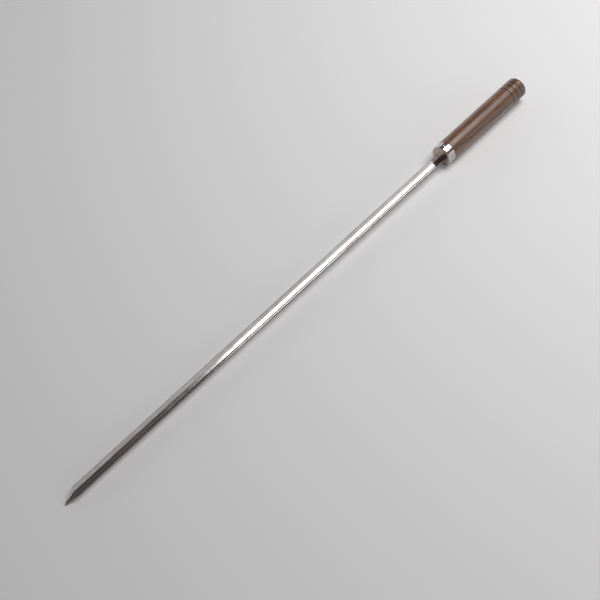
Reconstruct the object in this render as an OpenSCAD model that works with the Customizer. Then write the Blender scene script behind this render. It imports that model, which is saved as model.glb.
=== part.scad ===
/* [Overall] */
// Free length of the blade, from its point to the front face of the cap
blade_len = 553; // [200:1:900]
// Length of the grip, from the front face of the cap to the butt
grip_len = 147; // [120:1:260]
// Diameter of the wooden grip
grip_d = 25; // [20.5:0.1:40]

/* [Blade] */
// Width of each wing, from the sharp inner corner of the fold to the edge
wing_w = 8; // [6:0.1:10.5]
// Angle between the two wings of the folded strip
fold_angle = 81; // [70:1:100]
// Thickness of the steel sheet
sheet_t = 1.2; // [0.8:0.1:1.6]
// Inside radius of the fold
fold_r = 1.6; // [0.8:0.1:2.5]
// Length over which the wings are cut away to the point
point_len = 16; // [8:1:40]
// Height of the blunt nose that the two cuts leave at the very point
tip_land = 0.1; // [0.05:0.05:0.5]
// Length of the blade inside the grip, behind the front face of the cap
tang_len = 82; // [40:1:100]
// Length over which the wings are cut back at the driven end of the tang
tang_cut_len = 9; // [4:1:20]
// Width left of each wing at the driven end of the tang
tang_end_w = 4.5; // [3:0.1:5.5]

/* [Cap] */
// Height by which the wooden shoulder stands over the cap's band
cap_step = 0.3; // [0:0.05:0.6]
// Length of the cap along the grip
cap_len = 11; // [8:0.5:20]
// Thickness of the cap's sheet
cap_t = 0.8; // [0.5:0.1:1.2]
// Outside radius of the drawn edge between face and band
cap_edge_r = 1.6; // [1.3:0.1:2.5]
// Gap between the blade and the slot in the cap's face
slot_gap = 0.2; // [0.1:0.05:0.5]

/* [Wooden grip] */
// Gap between the blade and the bore of the grip
bore_gap = 0.1; // [0.05:0.05:0.4]
// Depth of the bore that is left free behind the tang
bore_spare = 3; // [1:0.5:10]
// Gap between the cap's band and the turned-down nose of the grip
nose_gap = 0.05; // [0.02:0.01:0.2]
// Radius of the turned edge of the shoulder behind the cap
shoulder_r = 0.5; // [0.2:0.1:1]
// Radius of the edge around the butt
butt_r = 3; // [1:0.5:6]
// Radius of the shallow dome that closes the butt
butt_dome_r = 45; // [30:1:120]
// Number of turned grooves near the butt
groove_n = 3; // [1:1:6]
// Distance from the butt to the middle of the last groove
groove_end = 10.3; // [8:0.1:20]
// Distance from one groove to the next
groove_pitch = 7.5; // [5:0.1:15]
// Radius of the gouge that cuts a groove
groove_tool_r = 1.1; // [0.8:0.1:2]
// Depth of a groove
groove_depth = 0.6; // [0.3:0.1:1]

/* [Nail] */
// Diameter of the nail's shank
nail_d = 1.8; // [1.2:0.1:2.5]
// Diameter of the nail's head
nail_head_d = 2.8; // [2.6:0.1:4]
// Height of the domed head above the band
nail_head_h = 0.5; // [0.3:0.1:0.8]
// Thickness of the wood that is left under the nail's tip
nail_wood_left = 1.8; // [0.5:0.1:2]
// Length of the nail's tapered tip
nail_tip_len = 2; // [1:0.5:3]
// Diameter of the nail's blunt end
nail_tip_d = 0.6; // [0.2:0.1:1]
// Gap around the nail in the cap, the wood and the blade
nail_gap = 0.1; // [0.05:0.05:0.3]

/* [Hidden] */

steel = [0.78, 0.78, 0.80];
cap_steel = [0.72, 0.70, 0.68];
stained_wood = [0.36, 0.20, 0.11];
nail_steel = [0.55, 0.54, 0.52];

// A little extra length, by which a cutter passes the face that it cuts
over = 1;
// Facets of a full circle, of the butt's much larger circle, and of the bend on each side of its middle
round_n = 96;
dome_n = 384;
bend_n = 8;

grip_r = grip_d / 2;
cap_r = grip_r - cap_step;

// The wings stand this far from the upright middle plane of the blade
lean = fold_angle / 2;
// Heights over the sharp inner corner of the fold: the bend's centre and the lowest line of its back
bend_z = fold_r / sin(lean);
back_z = bend_z - fold_r - sheet_t;
// Outer corner of a wing's edge: distance from the middle plane, and height over the sharp inner corner
edge_y = wing_w * sin(lean) + sheet_t * cos(lean);
edge_z = wing_w * cos(lean) - sheet_t * sin(lean);
// The bore is the circle through the back of the fold and the outer corners of both edges,
// so its centre, which is the grip's axis, lies at this height over the sharp inner corner
axis_z = (edge_y * edge_y + edge_z * edge_z - back_z * back_z) / (2 * (edge_z - back_z));
blade_circle_r = axis_z - back_z;
bore_r = blade_circle_r + bore_gap;

// Places along the axis, measured from the front face of the cap towards the butt
wood_front = cap_t;
nose_r = cap_r - cap_t - nose_gap;
last_groove = grip_len - groove_end;
bore_end = tang_len + bore_spare;
// The edge's round is tangent to the dome, and starts at this place on the side of the grip
dome_x = grip_len - butt_dome_r;
edge_from_axis = grip_r - butt_r;
side_end = dome_x + sqrt(pow(butt_dome_r - butt_r, 2) - pow(edge_from_axis, 2));

// The nail stands in the middle of the band; its heights are measured from the grip's axis
nail_x = cap_len / 2;
nail_tip_z = nail_wood_left - nose_r;
nail_top_z = cap_r + nail_head_h;
nail_dome_r = (nail_head_d * nail_head_d / 4 + nail_head_h * nail_head_h) / (2 * nail_head_h);

// The origin is the middle of the object's length, under the grip
face_x = (blade_len - grip_len) / 2;

// Moves a shape from the cap's face and the grip's axis to the object's own frame
module placed() {
    translate([face_x, 0, grip_r]) children();
}

// Turns a flat outline into a bar along the grip: outline x becomes Y, outline y becomes Z
module bar(from, to) {
    translate([from, 0, 0]) rotate([90, 0, 90]) linear_extrude(to - from) children();
}

// Spins an outline around the grip's axis: outline x is the radius, outline y the place along the axis
module turned() {
    rotate([0, 90, 0]) rotate_extrude($fn = round_n) children();
}

// Point on the right wing: u along the wing from the sharp inner corner, v from its inner face outwards
function on_wing(u, v) = [u * sin(lean) + v * cos(lean), u * cos(lean) - v * sin(lean)];
function mirrored(point) = [-point[0], point[1]];

// Points around the bend at radius r, from one wing to the other: to the right for way 1, back for way -1
function bend(r, way) = [
    for (i = [-bend_n : bend_n])
        let (turn = way * i * (90 - lean) / bend_n)
            [r * sin(turn), bend_z - r * cos(turn)]
];

// Section of the folded strip, made larger all round by gap
module strip_section(gap = 0) {
    outer_edge = on_wing(wing_w + gap, sheet_t + gap);
    inner_edge = on_wing(wing_w + gap, -gap);
    translate([0, -axis_z]) polygon(concat(
        [mirrored(inner_edge), mirrored(outer_edge)],
        bend(fold_r + sheet_t + gap, 1),
        [outer_edge, inner_edge],
        bend(fold_r - gap, -1)
    ));
}

// Cutter that trims both wings along a straight slant. The outline's x is the place along the blade and
// its y the distance from the sharp inner corner along the wing, so the cut is square to the sheet
module wing_trim(outline) {
    for (side = [0, 1]) {
        mirror([0, side, 0])
            translate([0, 0, -axis_z])
                rotate([90 - lean, 0, 0])
                    translate([0, 0, -wing_w])
                        linear_extrude(2 * wing_w) polygon(outline);
    }
}

// Strip of sheet steel folded to a V along its whole length, pointed in front, driven into the grip behind
module blade() {
    tip_x = -blade_len;
    low_u = (back_z + tip_land) * cos(lean);
    slope = (wing_w - low_u) / point_len;
    top_u = wing_w + over;
    tang_slope = (wing_w - tang_end_w) / tang_cut_len;
    color(steel) placed() difference() {
        bar(tip_x, tang_len) strip_section();
        wing_trim([
            [tip_x - over, low_u - over * slope],
            [tip_x + (top_u - low_u) / slope, top_u],
            [tip_x - over, top_u]
        ]);
        wing_trim([
            [tang_len - tang_cut_len - over / tang_slope, top_u],
            [tang_len + over, tang_end_w - over * tang_slope],
            [tang_len + over, top_u]
        ]);
        nail_hole();
    }
}

// Half outline of a drawn cup: its closed end is at 0, its mouth at length
module cup_outline(radius, length, edge_r) {
    square([radius - edge_r, length]);
    translate([0, edge_r]) square([radius, length - edge_r]);
    intersection() {
        translate([radius - edge_r, edge_r]) circle(edge_r, $fn = round_n);
        square([radius, edge_r]);
    }
}

// Polished cap drawn from sheet, closed in front but for the slot that the blade passes through
module cap() {
    color(cap_steel) placed() difference() {
        turned() cup_outline(cap_r, cap_len, cap_edge_r);
        translate([cap_t, 0, 0])
            turned() cup_outline(cap_r - cap_t, cap_len, cap_edge_r - cap_t);
        bar(-over, cap_t + over) strip_section(slot_gap);
        nail_hole();
    }
}

// Half outline of the butt: a shallow dome with a round edge tangent to it and to the side.
// The dome ends where the line from its centre through the edge's centre meets it
module butt_outline() {
    beyond = dome_x + 2 * (side_end - dome_x);
    translate([edge_from_axis, side_end]) circle(butt_r, $fn = round_n);
    intersection() {
        translate([0, dome_x]) circle(butt_dome_r, $fn = dome_n);
        polygon([[0, dome_x], [2 * edge_from_axis, beyond], [0, beyond]]);
    }
}

// Half outline of the wooden grip, from its nose inside the cap to the butt
module grip_outline() {
    difference() {
        union() {
            translate([0, wood_front])
                cup_outline(nose_r, cap_len - wood_front + over, cap_edge_r - cap_t);
            translate([0, cap_len])
                cup_outline(grip_r, side_end - cap_len, shoulder_r);
            butt_outline();
        }
        for (i = [0 : groove_n - 1]) {
            translate([grip_r - groove_depth + groove_tool_r, last_groove - i * groove_pitch])
                circle(groove_tool_r, $fn = round_n);
        }
    }
}

// Turned and stained hardwood grip, bored for the tang, with its nose turned down for the cap
module grip() {
    color(stained_wood) placed() difference() {
        turned() grip_outline();
        rotate([0, 90, 0]) cylinder(h = bore_end, r = bore_r, $fn = round_n);
        nail_hole();
    }
}

// Upright hole for the nail, through the cap and the fold, and blind in the wood under the blade
module nail_hole() {
    hole_r = nail_d / 2 + nail_gap;
    translate([nail_x, 0, nail_tip_z - nail_gap])
        cylinder(h = cap_r + over - nail_tip_z, r = hole_r, $fn = round_n);
}

// Nail that pins cap, wood and blade together, its domed head resting on the band
module nail() {
    color(nail_steel) placed() translate([nail_x, 0, 0]) rotate_extrude($fn = round_n) {
        polygon([
            [0, nail_tip_z],
            [nail_tip_d / 2, nail_tip_z],
            [nail_d / 2, nail_tip_z + nail_tip_len],
            [nail_d / 2, cap_r + nail_head_h / 2],
            [0, cap_r + nail_head_h / 2]
        ]);
        intersection() {
            translate([0, nail_top_z - nail_dome_r]) circle(nail_dome_r, $fn = round_n);
            translate([0, cap_r]) square([nail_head_d, nail_head_h + over]);
        }
    }
}

blade();
cap();
grip();
nail();
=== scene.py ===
import math

import bmesh
import bpy
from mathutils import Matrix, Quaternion, Vector


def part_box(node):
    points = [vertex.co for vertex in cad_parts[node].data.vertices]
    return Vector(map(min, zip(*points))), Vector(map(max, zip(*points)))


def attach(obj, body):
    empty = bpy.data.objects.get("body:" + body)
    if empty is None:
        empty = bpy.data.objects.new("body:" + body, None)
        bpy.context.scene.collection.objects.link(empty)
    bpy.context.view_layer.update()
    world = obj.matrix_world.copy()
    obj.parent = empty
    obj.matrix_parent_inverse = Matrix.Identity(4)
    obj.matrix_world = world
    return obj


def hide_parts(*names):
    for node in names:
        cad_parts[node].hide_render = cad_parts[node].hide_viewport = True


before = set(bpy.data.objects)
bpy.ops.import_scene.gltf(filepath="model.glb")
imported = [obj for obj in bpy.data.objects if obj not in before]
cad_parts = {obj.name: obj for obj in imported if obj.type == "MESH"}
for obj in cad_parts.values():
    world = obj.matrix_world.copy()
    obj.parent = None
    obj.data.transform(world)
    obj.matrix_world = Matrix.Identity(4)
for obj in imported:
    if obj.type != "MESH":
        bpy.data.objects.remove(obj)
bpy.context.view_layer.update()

# The camera stands over the point, on the side that the open channel is seen from, and looks down on
# the middle of the blade. The skewer runs up across the picture at about 43 degrees, so it is rolled.
aim = Vector((-0.04195, -0.00923, 0.00719))
camera_distance = 1.1094
camera_azimuth = math.radians(-42.88)
camera_elevation = math.radians(51.84)
camera_roll = math.radians(-6.59)
sensor_width = 36.0
picture_width = 600
focal_pixels = 1094

towards_camera = Vector((
    math.sin(camera_azimuth) * math.cos(camera_elevation),
    -math.cos(camera_azimuth) * math.cos(camera_elevation),
    math.sin(camera_elevation),
))
camera_data = bpy.data.cameras.new("camera")
camera_data.sensor_width = sensor_width
camera_data.lens = focal_pixels / picture_width * sensor_width
camera_data.dof.use_dof = False
camera = bpy.data.objects.new("camera", camera_data)
bpy.context.scene.collection.objects.link(camera)
camera.location = aim + towards_camera * camera_distance
camera.rotation_mode = "QUATERNION"
level_view = (-towards_camera).to_track_quat("-Z", "Y")
camera.rotation_quaternion = level_view @ Quaternion((0, 0, 1), camera_roll)
bpy.context.scene.camera = camera
bpy.context.scene.view_settings.view_transform = "Standard"

# The blade is one strip of bright rolled stainless sheet, folded lengthwise to a V and sheared to a
# point in front. Its back end, the tang, is driven into the grip and trimmed narrower at the very end.
blade_low, blade_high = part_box("blade")
cap_low, cap_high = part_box("cap")
grip_low, grip_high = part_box("grip")
nail_low, nail_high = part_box("nail")
sheet = 0.0012
wing_width = 0.0080
lean = math.radians(40.5)
fold_radius = 0.0016
point_length = 0.016
tip_land = 0.0001
tang_trim_length = 0.009
tang_end_width = 0.0045
bend_steps = 14
blade_rings = 60
sheared_edge = 0.00014
nail_hole_radius = 0.0010
# Height of the sharp corner in which the wings' inner faces would meet
corner_z = blade_high.z - wing_width * math.cos(lean)


def deselect():
    """Leaves nothing selected, in object mode."""
    if bpy.context.object and bpy.context.object.mode != "OBJECT":
        bpy.ops.object.mode_set(mode="OBJECT")
    bpy.ops.object.select_all(action="DESELECT")


def take_up(piece):
    """Makes a piece the only one selected and the active one."""
    deselect()
    bpy.context.view_layer.objects.active = piece
    piece.select_set(True)


def select_edges(piece, test):
    """Selects the edges of a piece in edit mode whose two ends pass the test."""
    bpy.ops.mesh.select_mode(type="EDGE")
    bpy.ops.mesh.select_all(action="DESELECT")
    mesh = bmesh.from_edit_mesh(piece.data)
    for edge in mesh.edges:
        if test(edge.verts[0].co, edge.verts[1].co):
            edge.select_set(True)
    bmesh.update_edit_mesh(piece.data)


def apply_modifier(piece, kind, **settings):
    """Adds a modifier with these settings and applies it."""
    take_up(piece)
    modifier = piece.modifiers.new(kind.lower(), kind)
    for name, value in settings.items():
        setattr(modifier, name, value)
    bpy.ops.object.modifier_apply(modifier=modifier.name)


def fold_strip(name, front, back, gap, rings):
    """Folds a strip to the blade's V between two places along X, larger all round by gap."""
    radius = fold_radius - gap
    bend_z = corner_z + fold_radius / math.sin(lean)
    bend_u = fold_radius / math.tan(lean)
    bend_y = radius * math.cos(lean)
    bend_low = bend_z - radius * math.sin(lean)
    width = wing_width + gap - bend_u
    deselect()
    bpy.ops.mesh.primitive_plane_add(
        size=1,
        location=(
            (front + back) / 2,
            bend_y + width / 2 * math.sin(lean),
            bend_low + width / 2 * math.cos(lean),
        ),
        rotation=(math.pi / 2 - lean, 0, 0),
    )
    strip = bpy.context.object
    strip.name = name
    strip.data.name = name
    strip.scale = (back - front, width, 1)
    bpy.ops.object.transform_apply(location=True, rotation=True, scale=True)
    bpy.ops.object.mode_set(mode="EDIT")
    low = min(v.co.z for v in strip.data.vertices) + width * 0.1
    select_edges(strip, lambda a, b: a.z < low and b.z < low)
    bpy.ops.mesh.spin(
        steps=bend_steps,
        angle=math.pi - 2 * lean,
        center=(0, 0, bend_z),
        axis=(1, 0, 0),
    )
    bpy.ops.mesh.extrude_region_move(
        TRANSFORM_OT_translate={"value": (0, -width * math.sin(lean), width * math.cos(lean))}
    )
    bpy.ops.mesh.select_all(action="SELECT")
    bpy.ops.mesh.remove_doubles(threshold=1e-6)
    bpy.ops.mesh.normals_make_consistent(inside=False)
    select_edges(strip, lambda a, b: abs(a.x - b.x) > (back - front) / 2)
    if rings:
        bpy.ops.mesh.subdivide(number_cuts=rings)
    bpy.ops.object.mode_set(mode="OBJECT")
    lowest = min(strip.data.polygons, key=lambda face: face.center.z)
    apply_modifier(
        strip,
        "SOLIDIFY",
        thickness=sheet + 2 * gap,
        offset=-1 if lowest.normal.z > 0 else 1,
        use_even_offset=True,
    )
    return strip


def shear(strip, place, wing_place, run, rise):
    """Cuts both wings along a slant: it passes wing_place at place and climbs rise over run along X."""
    for side in (1, -1):
        along_wing = Vector((0, side * math.sin(lean), math.cos(lean)))
        square_to_sheet = Vector((0, side * math.cos(lean), -math.sin(lean)))
        slant = Vector((run, 0, 0)) + along_wing * rise
        normal = slant.cross(square_to_sheet).normalized()
        if normal.z < 0:
            normal.negate()
        take_up(strip)
        bpy.ops.object.mode_set(mode="EDIT")
        bpy.ops.mesh.select_all(action="SELECT")
        bpy.ops.mesh.bisect(
            plane_co=Vector((place, 0, corner_z)) + along_wing * wing_place,
            plane_no=normal,
            use_fill=True,
            clear_outer=True,
        )
        bpy.ops.object.mode_set(mode="OBJECT")


def cut_away(piece, cutter):
    """Takes the cutter's shape out of a piece and throws the cutter away."""
    apply_modifier(piece, "BOOLEAN", operation="DIFFERENCE", solver="EXACT", object=cutter)
    bpy.data.objects.remove(cutter)


def drill_for_nail(piece):
    """Drills the upright hole of the nail through the upper side of a piece."""
    deselect()
    bpy.ops.mesh.primitive_cylinder_add(
        vertices=32,
        radius=nail_hole_radius,
        depth=grip_high.z,
        location=((nail_low.x + nail_high.x) / 2, 0, nail_low.z + grip_high.z / 2),
    )
    cut_away(piece, bpy.context.object)


def smooth(piece, angle):
    """Shades a piece smooth but for edges sharper than angle, with its flats kept flat."""
    take_up(piece)
    bpy.ops.object.shade_smooth_by_angle(angle=angle)
    apply_modifier(piece, "WEIGHTED_NORMAL", keep_sharp=True, weight=60)


def new_material(name):
    """A node material of this name, with its tree and its shader."""
    material = bpy.data.materials.new(name)
    material.use_nodes = True
    tree = material.node_tree
    return material, tree, tree.nodes["Principled BSDF"]


def add_node(tree, kind, inputs=None, **settings):
    """Adds a node. An input is set to a value, or linked where it is given another node's output."""
    node = tree.nodes.new("ShaderNode" + kind)
    for name, value in settings.items():
        setattr(node, name, value)
    for key, value in (inputs or {}).items():
        if isinstance(value, bpy.types.NodeSocket):
            tree.links.new(value, node.inputs[key])
        else:
            node.inputs[key].default_value = value
    return node


def place_on(tree, scale, centre=(0, 0, 0), turn=(0, 0, 0)):
    """A place on the piece in object coordinates, seen from a centre, turned and stretched."""
    where = add_node(tree, "TexCoord")
    moved = add_node(tree, "VectorMath", {0: where.outputs["Object"], 1: centre}, operation="SUBTRACT")
    return add_node(
        tree, "Mapping", {"Vector": moved.outputs[0], "Scale": scale, "Rotation": turn}
    ).outputs[0]


def noise(tree, vector, scale, detail=3.0, roughness=0.5, distortion=0.0):
    """A noise of this many spots to the unit of the vector."""
    return add_node(
        tree,
        "TexNoise",
        {
            "Vector": vector,
            "Scale": scale,
            "Detail": detail,
            "Roughness": roughness,
            "Distortion": distortion,
        },
    ).outputs["Fac"]


def spread(tree, value, low, high, to_low=0.0, to_high=1.0):
    """Spreads a value between low and high over another range, and holds it within that range."""
    return add_node(
        tree,
        "MapRange",
        {0: value, 1: low, 2: high, 3: to_low, 4: to_high},
        interpolation_type="SMOOTHSTEP",
    ).outputs[0]


def math_node(tree, operation, first, second=0.0):
    """Works out one value from two."""
    return add_node(tree, "Math", {0: first, 1: second}, operation=operation).outputs[0]


def blend_colours(tree, factor, first, second, blend_type="MIX"):
    """Mixes two colours by a factor."""
    node = add_node(tree, "Mix", data_type="RGBA", blend_type=blend_type)
    for socket, value in ((0, factor), (6, first), (7, second)):
        if isinstance(value, bpy.types.NodeSocket):
            tree.links.new(value, node.inputs[socket])
        else:
            node.inputs[socket].default_value = value
    return node.outputs[2]


def make_wear_group():
    """Fine drawn lines, wiped smudges and small dents that every handled metal piece has."""
    group = bpy.data.node_groups.new("handled_metal", "ShaderNodeTree")
    group.interface.new_socket("Place", in_out="INPUT", socket_type="NodeSocketVector")
    group.interface.new_socket("Line Stretch", in_out="INPUT", socket_type="NodeSocketVector")
    group.interface.new_socket("Smudge Scale", in_out="INPUT", socket_type="NodeSocketFloat")
    group.interface.new_socket("Lines", in_out="OUTPUT", socket_type="NodeSocketFloat")
    group.interface.new_socket("Smudges", in_out="OUTPUT", socket_type="NodeSocketFloat")
    group.interface.new_socket("Dents", in_out="OUTPUT", socket_type="NodeSocketFloat")
    source = group.nodes.new("NodeGroupInput")
    sink = group.nodes.new("NodeGroupOutput")
    stretched = add_node(
        group,
        "VectorMath",
        {0: source.outputs["Place"], 1: source.outputs["Line Stretch"]},
        operation="MULTIPLY",
    )
    lines = noise(group, stretched.outputs[0], 1.0, detail=5.0, roughness=0.65)
    scaled = add_node(
        group,
        "VectorMath",
        {0: source.outputs["Place"], "Scale": source.outputs["Smudge Scale"]},
        operation="SCALE",
    )
    smudges = noise(group, scaled.outputs[0], 1.0, detail=4.0, roughness=0.6, distortion=0.8)
    dents = noise(group, scaled.outputs[0], 2.3, detail=1.0)
    group.links.new(lines, sink.inputs["Lines"])
    group.links.new(spread(group, smudges, 0.38, 0.68), sink.inputs["Smudges"])
    group.links.new(dents, sink.inputs["Dents"])
    return group


def wear_nodes(tree, vector, line_stretch, smudge_scale):
    """Places the shared wear of handled metal in a material."""
    node = add_node(tree, "Group", node_tree=handled_metal)
    tree.links.new(vector, node.inputs["Place"])
    node.inputs["Line Stretch"].default_value = line_stretch
    node.inputs["Smudge Scale"].default_value = smudge_scale
    return node.outputs


blade = fold_strip("skewer_blade", blade_low.x, blade_high.x, 0, blade_rings)
point_start = (blade_low.z + tip_land - corner_z) * math.cos(lean)
shear(blade, blade_low.x, point_start, point_length, wing_width - point_start)
shear(blade, blade_high.x, tang_end_width, -tang_trim_length, wing_width - tang_end_width)
drill_for_nail(blade)
apply_modifier(
    blade,
    "BEVEL",
    width=sheared_edge,
    segments=3,
    limit_method="ANGLE",
    angle_limit=math.radians(35),
)
smooth(blade, math.radians(40))

handled_metal = make_wear_group()
rolled_steel, tree, shader = new_material("rolled_steel")
here = place_on(tree, (1, 1, 1), centre=(0, 0, corner_z))
wear = wear_nodes(tree, here, (16, 5200, 5200), 34.0)
# A wing's rim lies wing_width away from the corner, so a mask on that distance finds its sheared edge
across = add_node(tree, "SeparateXYZ", {0: here})
side = math_node(tree, "ABSOLUTE", across.outputs["Y"])
along_wing = math_node(
    tree,
    "ADD",
    math_node(tree, "MULTIPLY", side, math.sin(lean)),
    math_node(tree, "MULTIPLY", across.outputs["Z"], math.cos(lean)),
)
rim = spread(tree, along_wing, wing_width - 0.00022, wing_width - 0.00006)
bright = blend_colours(tree, wear["Lines"], (0.60, 0.585, 0.585, 1), (0.74, 0.73, 0.735, 1))
tinted = blend_colours(tree, wear["Smudges"], bright, (0.60, 0.555, 0.535, 1))
edged = blend_colours(tree, rim, tinted, (0.27, 0.245, 0.24, 1))
tree.links.new(edged, shader.inputs["Base Color"])
gloss = math_node(
    tree,
    "ADD",
    math_node(tree, "MULTIPLY", wear["Lines"], 0.10),
    math_node(tree, "MULTIPLY", wear["Smudges"], 0.07),
)
rim_dull = math_node(tree, "MULTIPLY", rim, 0.26)
roughness = math_node(tree, "ADD", math_node(tree, "ADD", gloss, rim_dull), 0.07)
tree.links.new(roughness, shader.inputs["Roughness"])
shader.inputs["Metallic"].default_value = 1
bump = add_node(tree, "Bump", {"Strength": 0.12, "Distance": 0.00003, "Height": wear["Lines"]})
waves = add_node(
    tree,
    "Bump",
    {"Strength": 0.10, "Distance": 0.0005, "Height": wear["Dents"], "Normal": bump.outputs[0]},
)
tree.links.new(waves.outputs[0], shader.inputs["Normal"])
blade.data.materials.clear()
blade.data.materials.append(rolled_steel)
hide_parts("blade")
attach(blade, "root")

# The grip is turned from one piece of figured hardwood, bored for the tang and turned down in front for
# the cap. Three grooves are cut near its butt, and it is stained red-brown and varnished to a gloss.
grip_axis_z = (grip_low.z + grip_high.z) / 2
grip_radius = (grip_high.z - grip_low.z) / 2
bore_radius = 0.00623
bore_end = 0.288
nose_radius = 0.01135
nose_edge = 0.0008
shoulder_edge = 0.0005
groove_count = 3
groove_pitch = 0.0075
last_groove = 0.0103
groove_tool = 0.0011
groove_depth = 0.0006
bead_crown = 0.00024
butt_edge = 0.003
butt_dome = 0.045
side_ring_step = 0.004
turned_segments = 128


def arc(centre, radius, start, end, steps):
    """Places and radii along an arc, with its angles measured from the butt's direction outwards."""
    for i in range(steps + 1):
        angle = math.radians(start + (end - start) * i / steps)
        yield centre[0] + radius * math.cos(angle), centre[1] + radius * math.sin(angle)


def turn(name, rings, segments, upright_at=None):
    """Turns a piece on the grip's axis, or upright at a place along it, from its places and radii.
    A ring of edges is drawn on from one place to the next, and both ends are closed with a flat."""
    if upright_at is None:
        start = Vector((0, 0, grip_axis_z))
        way = Vector((1, 0, 0))
        rotation = (0, math.pi / 2, 0)
    else:
        start = Vector((upright_at, 0, 0))
        way = Vector((0, 0, 1))
        rotation = (0, 0, 0)
    rings = list(rings)
    deselect()
    bpy.ops.mesh.primitive_circle_add(
        vertices=segments,
        radius=rings[0][1],
        fill_type="NGON",
        location=start + way * rings[0][0],
        rotation=rotation,
    )
    piece = bpy.context.object
    piece.name = name
    piece.data.name = name
    bpy.ops.object.transform_apply(location=True, rotation=True, scale=True)
    bpy.ops.object.mode_set(mode="EDIT")
    bpy.ops.mesh.select_mode(type="EDGE")
    bpy.ops.mesh.select_all(action="SELECT")
    bpy.ops.mesh.delete(type="ONLY_FACE")
    bpy.ops.mesh.select_all(action="SELECT")
    bpy.ops.mesh.duplicate()
    bpy.ops.mesh.edge_face_add()
    bpy.ops.mesh.select_all(action="SELECT")
    mesh = bmesh.from_edit_mesh(piece.data)
    for face in mesh.faces:
        face.select_set(False)
    for edge in mesh.edges:
        edge.select_set(not edge.link_faces)
    bmesh.update_edit_mesh(piece.data)
    for (before, wide_before), (place, wide) in zip(rings, rings[1:]):
        bpy.ops.mesh.extrude_region_move(
            TRANSFORM_OT_translate={"value": way * (place - before)}
        )
        size = wide / wide_before
        bpy.ops.transform.resize(
            value=(size, size, 1) if upright_at is not None else (1, size, size),
            center_override=start + way * place,
        )
    bpy.ops.mesh.edge_face_add()
    bpy.ops.mesh.select_all(action="SELECT")
    bpy.ops.mesh.remove_doubles(threshold=1e-6)
    bpy.ops.mesh.normals_make_consistent(inside=False)
    bpy.ops.object.mode_set(mode="OBJECT")
    return piece


def grip_rings():
    """The grip's outline, from the bottom of the bore, round the nose and along the side to the butt."""
    front = cap_low.x + 0.0008
    shoulder = cap_high.x
    yield bore_end, bore_radius
    yield front, bore_radius
    yield from arc((front + nose_edge, nose_radius - nose_edge), nose_edge, 180, 90, 5)
    yield shoulder, nose_radius
    yield from arc((shoulder + shoulder_edge, grip_radius - shoulder_edge), shoulder_edge, 180, 90, 5)
    half_width = math.sqrt(groove_tool ** 2 - (groove_tool - groove_depth) ** 2)
    half_angle = math.degrees(math.asin(half_width / groove_tool))
    grooves = [
        grip_high.x - last_groove - (groove_count - 1 - i) * groove_pitch for i in range(groove_count)
    ]
    plain_end = grooves[0] - half_width
    steps = round((plain_end - shoulder) / side_ring_step)
    for i in range(1, steps):
        yield shoulder + (plain_end - shoulder) * i / steps, grip_radius
    for i, middle in enumerate(grooves):
        yield from arc(
            (middle, grip_radius - groove_depth + groove_tool),
            groove_tool,
            270 - half_angle,
            270 + half_angle,
            10,
        )
        if i < groove_count - 1:
            bead = groove_pitch - 2 * half_width
            for j in range(1, 12):
                away = 2 * j / 12 - 1
                yield middle + half_width + bead * j / 12, grip_radius - bead_crown * away ** 4
    dome_x = grip_high.x - butt_dome
    edge_axis = grip_radius - butt_edge
    edge_x = dome_x + math.sqrt((butt_dome - butt_edge) ** 2 - edge_axis ** 2)
    dome_angle = math.degrees(math.asin(edge_axis / (butt_dome - butt_edge)))
    last_side = grooves[-1] + half_width
    for j in range(1, 6):
        away = 1 - j / 6
        yield last_side + (edge_x - last_side) * j / 6, grip_radius - bead_crown * away ** 4
    yield from arc((edge_x, edge_axis), butt_edge, 90, dome_angle, 10)
    yield from arc((dome_x, 0), butt_dome, dome_angle * 0.94, 0.6, 12)


grip = turn("turned_grip", grip_rings(), turned_segments)
drill_for_nail(grip)
apply_modifier(
    grip,
    "BEVEL",
    width=0.00016,
    segments=2,
    limit_method="ANGLE",
    angle_limit=math.radians(42),
)
smooth(grip, math.radians(50))

varnished_wood, tree, shader = new_material("varnished_hardwood")
on_grip = place_on(tree, (1, 1, 1), centre=(0, 0, grip_axis_z))
# The grain runs along the grip and wanders a little, as the wood was not cut true to it
wander = noise(tree, place_on(tree, (9, 30, 30), centre=(0, 0, grip_axis_z)), 1.0, detail=2.0)
wander_by = add_node(
    tree,
    "CombineXYZ",
    {"Y": math_node(tree, "MULTIPLY", wander, 0.012), "Z": math_node(tree, "MULTIPLY", wander, 0.009)},
)
bent = add_node(tree, "VectorMath", {0: on_grip, 1: wander_by.outputs[0]}, operation="ADD").outputs[0]
# Year rings of the tree, whose heart lay below and beside the grip
ring_place = add_node(
    tree,
    "Mapping",
    {"Vector": bent, "Location": (0, 0.030, 0.045), "Scale": (0.14, 1, 1)},
).outputs[0]
rings = add_node(
    tree,
    "TexWave",
    {"Vector": ring_place, "Scale": 62.0, "Distortion": 2.6, "Detail": 3.0, "Detail Scale": 1.6},
    wave_type="RINGS",
    rings_direction="X",
    wave_profile="SAW",
).outputs["Fac"]
streaks = noise(
    tree,
    add_node(tree, "VectorMath", {0: bent, 1: (26, 420, 420)}, operation="MULTIPLY").outputs[0],
    1.0,
    detail=4.0,
    roughness=0.62,
)
broad = noise(
    tree,
    add_node(tree, "VectorMath", {0: bent, 1: (14, 120, 120)}, operation="MULTIPLY").outputs[0],
    1.0,
    detail=2.0,
)
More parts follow.
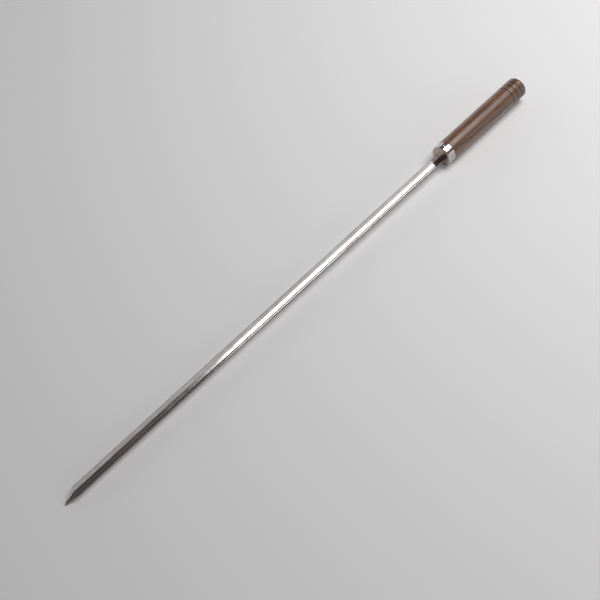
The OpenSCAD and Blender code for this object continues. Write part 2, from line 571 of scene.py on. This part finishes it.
# Fiddleback: the fibres swing to and fro every 7 to 8 mm, which shows as bands across the grain
figure = noise(
    tree,
    add_node(tree, "VectorMath", {0: on_grip, 1: (150, 34, 34)}, operation="MULTIPLY").outputs[0],
    1.0,
    detail=2.0,
    distortion=0.7,
)
pale_wood = (0.168, 0.068, 0.026, 1)
red_wood = (0.110, 0.036, 0.013, 1)
dark_wood = (0.038, 0.0125, 0.0055, 1)
reflection_olive_wood = (0.140, 0.074, 0.034, 1)
ground = blend_colours(tree, spread(tree, broad, 0.34, 0.64), red_wood, pale_wood)
ringed = blend_colours(tree, spread(tree, rings, 0.42, 1.0, 0.0, 0.72), ground, dark_wood)
streaked = blend_colours(tree, spread(tree, streaks, 0.52, 0.78, 0.0, 0.8), ringed, dark_wood)
figured = blend_colours(
    tree,
    spread(tree, figure, 0.34, 0.66),
    streaked,
    blend_colours(tree, 0.55, streaked, pale_wood),
)
axes = add_node(tree, "SeparateXYZ", {0: on_grip})
# Painted reflection: the -Y side, which faces the camera, is painted a lighter olive brown for the bright
# horizon mirrored in the varnish, with grain streaks through it
painted_reflection_side = spread(
    tree,
    math_node(
        tree,
        "ADD",
        math_node(tree, "MULTIPLY", axes.outputs["Y"], -0.92),
        math_node(tree, "MULTIPLY", axes.outputs["Z"], 0.10),
    ),
    0.0060,
    0.0100,
)
reflection_sided = blend_colours(
    tree, math_node(tree, "MULTIPLY", painted_reflection_side, 0.62), figured,
    blend_colours(tree, spread(tree, streaks, 0.46, 0.74), reflection_olive_wood, dark_wood),
)
# One long dark vein drifts down that side from the cap to the butt, with a small knot in it
knot_x = cap_high.x + 0.029
around = math_node(tree, "ARCTAN2", math_node(tree, "MULTIPLY", axes.outputs["Y"], -1), axes.outputs["Z"])
along = math_node(tree, "SUBTRACT", axes.outputs["X"], cap_high.x)
vein_waver = noise(tree, place_on(tree, (55, 0, 0)), 1.0, detail=2.0)
vein_angle = math_node(
    tree,
    "ADD",
    math_node(tree, "MULTIPLY", along, 4.6),
    math_node(tree, "ADD", math_node(tree, "MULTIPLY", vein_waver, 0.30), 0.76),
)
off_vein = math_node(tree, "ABSOLUTE", math_node(tree, "SUBTRACT", around, vein_angle))
vein = spread(tree, off_vein, 0.03, 0.14, 0.85, 0.0)
veined = blend_colours(tree, vein, reflection_sided, (0.022, 0.0075, 0.004, 1))
knot_across = math_node(tree, "MULTIPLY", math_node(tree, "SUBTRACT", around, 1.12), grip_radius)
knot_along = math_node(
    tree, "MULTIPLY", math_node(tree, "SUBTRACT", axes.outputs["X"], knot_x), 0.45
)
knot_away = math_node(
    tree,
    "SQRT",
    math_node(
        tree,
        "ADD",
        math_node(tree, "POWER", knot_across, 2.0),
        math_node(tree, "POWER", knot_along, 2.0),
    ),
)
knot = spread(tree, knot_away, 0.0006, 0.0019, 0.9, 0.0)
knotted = blend_colours(tree, knot, veined, (0.018, 0.007, 0.0045, 1))
# Darker colour in the grooves and at the shoulder, but not on the butt's end
from_axis = math_node(
    tree,
    "SQRT",
    math_node(
        tree,
        "ADD",
        math_node(tree, "POWER", axes.outputs["Y"], 2.0),
        math_node(tree, "POWER", axes.outputs["Z"], 2.0),
    ),
)
in_groove = spread(tree, from_axis, grip_radius - groove_depth, grip_radius - 0.00025, 0.85, 0.0)
on_side = spread(tree, axes.outputs["X"], grip_high.x - 0.0045, grip_high.x - 0.003, 1.0, 0.0)
groove_darkening = math_node(tree, "MULTIPLY", in_groove, on_side)
darkened = blend_colours(tree, groove_darkening, knotted, (0.020, 0.0075, 0.0042, 1))
tree.links.new(darkened, shader.inputs["Base Color"])
pores = noise(
    tree,
    add_node(tree, "VectorMath", {0: bent, 1: (160, 3600, 3600)}, operation="MULTIPLY").outputs[0],
    1.0,
    detail=3.0,
)
rubbed = noise(tree, place_on(tree, (60, 90, 90)), 1.0, detail=3.0)
tree.links.new(spread(tree, rubbed, 0.3, 0.7, 0.30, 0.42), shader.inputs["Roughness"])
shader.inputs["Coat Weight"].default_value = 0.55
shader.inputs["Coat Roughness"].default_value = 0.26
grain_bump = add_node(tree, "Bump", {"Strength": 0.22, "Distance": 0.00006, "Height": pores})
figure_bump = add_node(
    tree,
    "Bump",
    {"Strength": 0.25, "Distance": 0.0003, "Height": figure, "Normal": grain_bump.outputs[0]},
)
tree.links.new(figure_bump.outputs[0], shader.inputs["Normal"])
grip.data.materials.clear()
grip.data.materials.append(varnished_wood)
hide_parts("grip")
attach(grip, "root")

# The cap is a cup drawn from thin stainless sheet and pressed over the grip's nose. Its face is closed
# but for the V slot that the blade passes through, and it has been polished by hand on a wheel.
cap_radius = (cap_high.z - cap_low.z) / 2
cap_sheet = 0.0008
cap_edge = 0.0016
mouth_edge = 0.00022
slot_gap = 0.0002


def cap_rings():
    """The cap's outline, from the middle of its face's inside, round its mouth, to the face."""
    inner = cap_radius - cap_sheet
    inner_edge = cap_edge - cap_sheet
    yield cap_low.x + cap_sheet, 0.0045
    yield cap_low.x + cap_sheet, inner - inner_edge - 0.0004
    yield from arc(
        (cap_low.x + cap_edge, inner - inner_edge), inner_edge, 180, 90, 6
    )
    yield cap_high.x, inner
    yield cap_high.x, cap_radius - mouth_edge
    yield from arc((cap_high.x - mouth_edge, cap_radius - mouth_edge), mouth_edge, 60, 90, 3)
    yield cap_high.x - 0.003, cap_radius
    yield cap_low.x + cap_edge + 0.0015, cap_radius
    yield from arc((cap_low.x + cap_edge, cap_radius - cap_edge), cap_edge, 90, 180, 12)
    yield cap_low.x, cap_radius - cap_edge - 0.0006
    yield cap_low.x, 0.0045


cap = turn("grip_cap", cap_rings(), turned_segments)
slot_cutter = fold_strip("slot_cutter", cap_low.x - 0.003, cap_low.x + 0.003, slot_gap, 0)
cut_away(cap, slot_cutter)
drill_for_nail(cap)
apply_modifier(
    cap,
    "BEVEL",
    width=0.00008,
    segments=2,
    limit_method="ANGLE",
    angle_limit=math.radians(60),
)
smooth(cap, math.radians(40))

polished_cap, tree, shader = new_material("polished_cap")
here = place_on(tree, (1, 1, 1), centre=(0, 0, grip_axis_z))
wear = wear_nodes(tree, here, (2600, 130, 130), 120.0)
# Painted reflection: the cap's steel colours are painted warm and darker, standing in for the brown floor
# mirrored in them; the drawn lines vary them
bright = blend_colours(tree, wear["Lines"], (0.50, 0.455, 0.43, 1), (0.68, 0.655, 0.66, 1))
tarnish = noise(tree, place_on(tree, (260, 150, 150)), 1.0, detail=4.0, roughness=0.7, distortion=0.6)
darkened = blend_colours(
    tree, spread(tree, tarnish, 0.44, 0.70, 0.0, 0.75), bright, (0.26, 0.205, 0.185, 1)
)
tinted = blend_colours(tree, spread(tree, wear["Smudges"], 0.0, 1.0, 0.0, 0.5), darkened, (0.46, 0.40, 0.42, 1))
axes = add_node(tree, "SeparateXYZ", {0: here})
# Painted reflection: the face is painted a dull brown, standing in for the brown floor mirrored in it
face = spread(tree, axes.outputs["X"], cap_low.x + 0.0002, cap_low.x + 0.0014, 1.0, 0.0)
face_painted_reflection = blend_colours(tree, math_node(tree, "MULTIPLY", face, 0.7), tinted, (0.40, 0.30, 0.235, 1))
tree.links.new(face_painted_reflection, shader.inputs["Base Color"])
gloss = math_node(
    tree,
    "ADD",
    math_node(tree, "MULTIPLY", wear["Lines"], 0.16),
    math_node(tree, "MULTIPLY", wear["Smudges"], 0.10),
)
tree.links.new(math_node(tree, "ADD", gloss, 0.10), shader.inputs["Roughness"])
shader.inputs["Metallic"].default_value = 1
bump = add_node(tree, "Bump", {"Strength": 0.16, "Distance": 0.00004, "Height": wear["Lines"]})
waves = add_node(
    tree,
    "Bump",
    {"Strength": 0.35, "Distance": 0.0003, "Height": wear["Dents"], "Normal": bump.outputs[0]},
)
tree.links.new(waves.outputs[0], shader.inputs["Normal"])
cap.data.materials.clear()
cap.data.materials.append(polished_cap)
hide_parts("cap")
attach(cap, "root")

# The nail is a short bright wire nail, driven down through the cap and the fold of the blade into the
# wood. Its head was hammered to a low dome that rests on the cap's band.
nail_shank = 0.0009
nail_point = 0.0003
nail_point_length = 0.002
nail_head = 0.0014
head_height = 0.0005


def nail_rings():
    """The nail's outline from its blunt end up its shank and under its head to the top of the dome."""
    under_head = nail_high.z - head_height
    yield nail_low.z, nail_point
    yield nail_low.z + nail_point_length, nail_shank
    yield under_head + 0.00010, nail_shank
    yield under_head + 0.00010, nail_head * 0.94
    yield under_head + 0.00018, nail_head
    dome = (nail_head ** 2 + head_height ** 2) / (2 * head_height)
    for i in range(1, 9):
        wide = nail_head * (1 - i / 9)
        yield nail_high.z - dome + math.sqrt(dome ** 2 - wide ** 2), wide


nail = turn("pinning_nail", nail_rings(), 48, upright_at=(nail_low.x + nail_high.x) / 2)
smooth(nail, math.radians(50))

wire_nail, tree, shader = new_material("wire_nail")
here = place_on(tree, (1, 1, 1), centre=((nail_low.x + nail_high.x) / 2, 0, nail_high.z))
wear = wear_nodes(tree, here, (900, 900, 300), 900.0)
hammered = add_node(tree, "TexVoronoi", {"Vector": here, "Scale": 1600.0}).outputs["Distance"]
bright = blend_colours(tree, wear["Smudges"], (0.62, 0.61, 0.60, 1), (0.30, 0.27, 0.25, 1))
tree.links.new(bright, shader.inputs["Base Color"])
tree.links.new(spread(tree, wear["Lines"], 0.3, 0.7, 0.16, 0.34), shader.inputs["Roughness"])
shader.inputs["Metallic"].default_value = 1
blows = add_node(tree, "Bump", {"Strength": 0.5, "Distance": 0.0001, "Height": hammered})
tree.links.new(blows.outputs[0], shader.inputs["Normal"])
nail.data.materials.clear()
nail.data.materials.append(wire_nail)
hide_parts("nail")
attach(nail, "root")

# The floor is a plain pale sheet. The skewer lies on the front edge of its grip's wood and on its
# point, which stands 6 mm higher in the skewer's own frame, so the sheet slopes by that much.
floor_size = 30
wood_front = cap_high.x
floor_slope = (blade_low.z - grip_low.z) / (wood_front - blade_low.x)
deselect()
bpy.ops.mesh.primitive_plane_add(size=floor_size)
floor = bpy.context.object
floor.name = "floor"
floor.rotation_euler = (0, math.atan(floor_slope), 0)
floor.location = (0, 0, floor_slope * wood_front)
paper, tree, shader = new_material("pale_paper")
shader.inputs["Base Color"].default_value = (0.9, 0.9, 0.9, 1)
shader.inputs["Roughness"].default_value = 0.9
floor.data.materials.append(paper)

# A large soft box hangs over the butt's end of the skewer.
soft_box_low = Vector((0.40, -0.93, 1.44))
soft_box_high = Vector((1.50, 0.30, 1.44))
soft_box_radiance = 5.0
size = soft_box_high - soft_box_low
soft_box_data = bpy.data.lights.new("soft_box", "AREA")
soft_box_data.shape = "RECTANGLE"
soft_box_data.size = size.x
soft_box_data.size_y = size.y
soft_box_data.energy = soft_box_radiance * math.pi * size.x * size.y
soft_box = bpy.data.objects.new("soft_box", soft_box_data)
bpy.context.scene.collection.objects.link(soft_box)
soft_box.location = (soft_box_low + soft_box_high) / 2
soft_box.visible_camera = False

# The room: white walls up to a little above the horizon, and a dark ceiling.
world = bpy.data.worlds.new("room")
bpy.context.scene.world = world
world.use_nodes = True
tree = world.node_tree
background = tree.nodes["Background"]
direction = add_node(tree, "TexCoord").outputs["Generated"]
height = add_node(tree, "SeparateXYZ", {0: direction}).outputs["Z"]
dark_part = spread(tree, height, 0.25, 0.45)
wall_to_ceiling = blend_colours(tree, dark_part, (1, 1, 1, 1), (0.10, 0.09, 0.09, 1))
tree.links.new(wall_to_ceiling, background.inputs["Color"])
